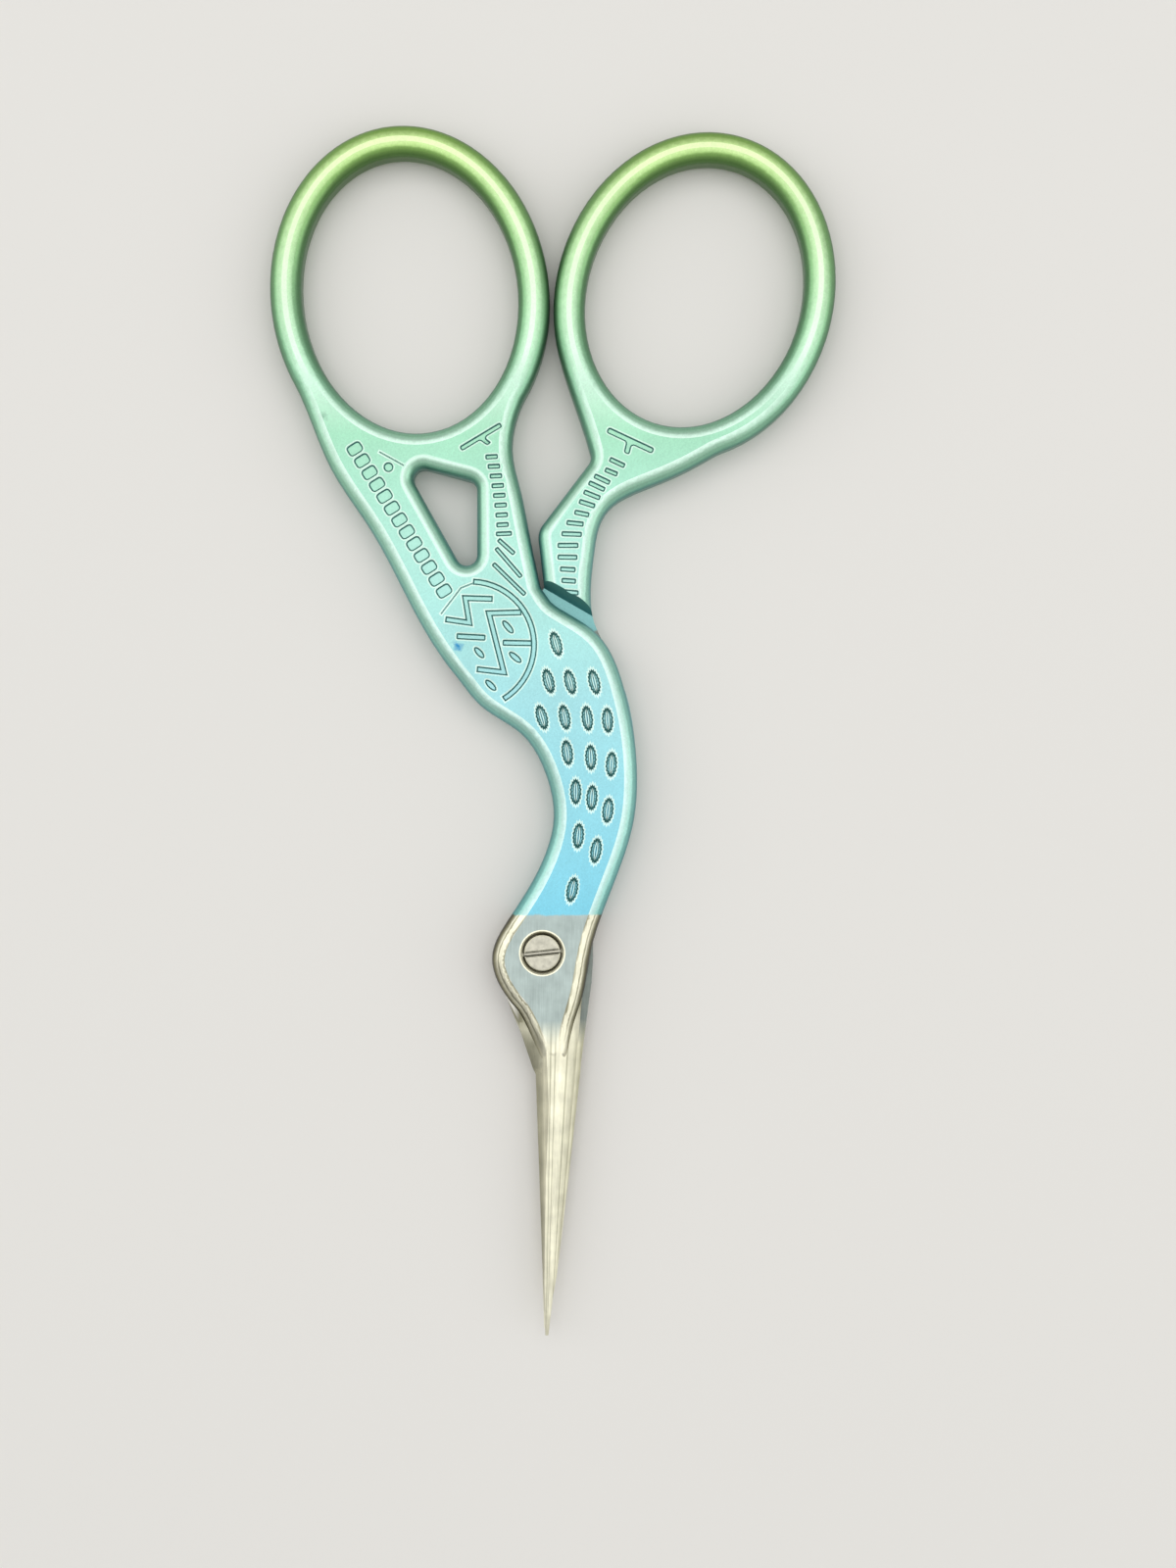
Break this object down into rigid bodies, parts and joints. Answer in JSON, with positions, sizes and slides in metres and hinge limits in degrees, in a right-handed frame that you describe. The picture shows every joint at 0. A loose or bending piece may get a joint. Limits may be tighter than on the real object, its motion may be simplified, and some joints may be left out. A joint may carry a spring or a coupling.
{
  "type": "embroidery scissors",
  "caption": "Small bird-shaped embroidery scissors: two half-lapped halves on a slotted pivot screw, with oval finger rings, a feathered body and long tapering beak blades.",
  "frame": {"origin": "on the pivot axis, in the plane of the flat back that the closed scissors rest on", "axes": "+Z along the pivot axis out of the front face, +Y towards the finger rings, +X to the right ring"},
  "size_m": [0.0538, 0.115, 0.0036],
  "materials": {
    "painted_front": "pearl paint fading from yellow-green rings to a sky-blue neck; head and blade bare satin steel",
    "painted_back": "pearl paint fading from yellow-green rings to a sky-blue neck; head and blade bare satin steel",
    "screw_steel": "turned and brushed steel with a worn slot"
  },
  "bodies": {
    "back": {"back_half": "painted_back", "pivot_screw": "screw_steel"},
    "front": {"front_half": "painted_front"}
  },
  "joints": [
    {"name": "pivot", "type": "hinge", "parent": "back", "child": "front", "pos_m": [0, 0, 0], "axis": [0, 0, 1], "range_deg": [0, 60]}
  ]
}
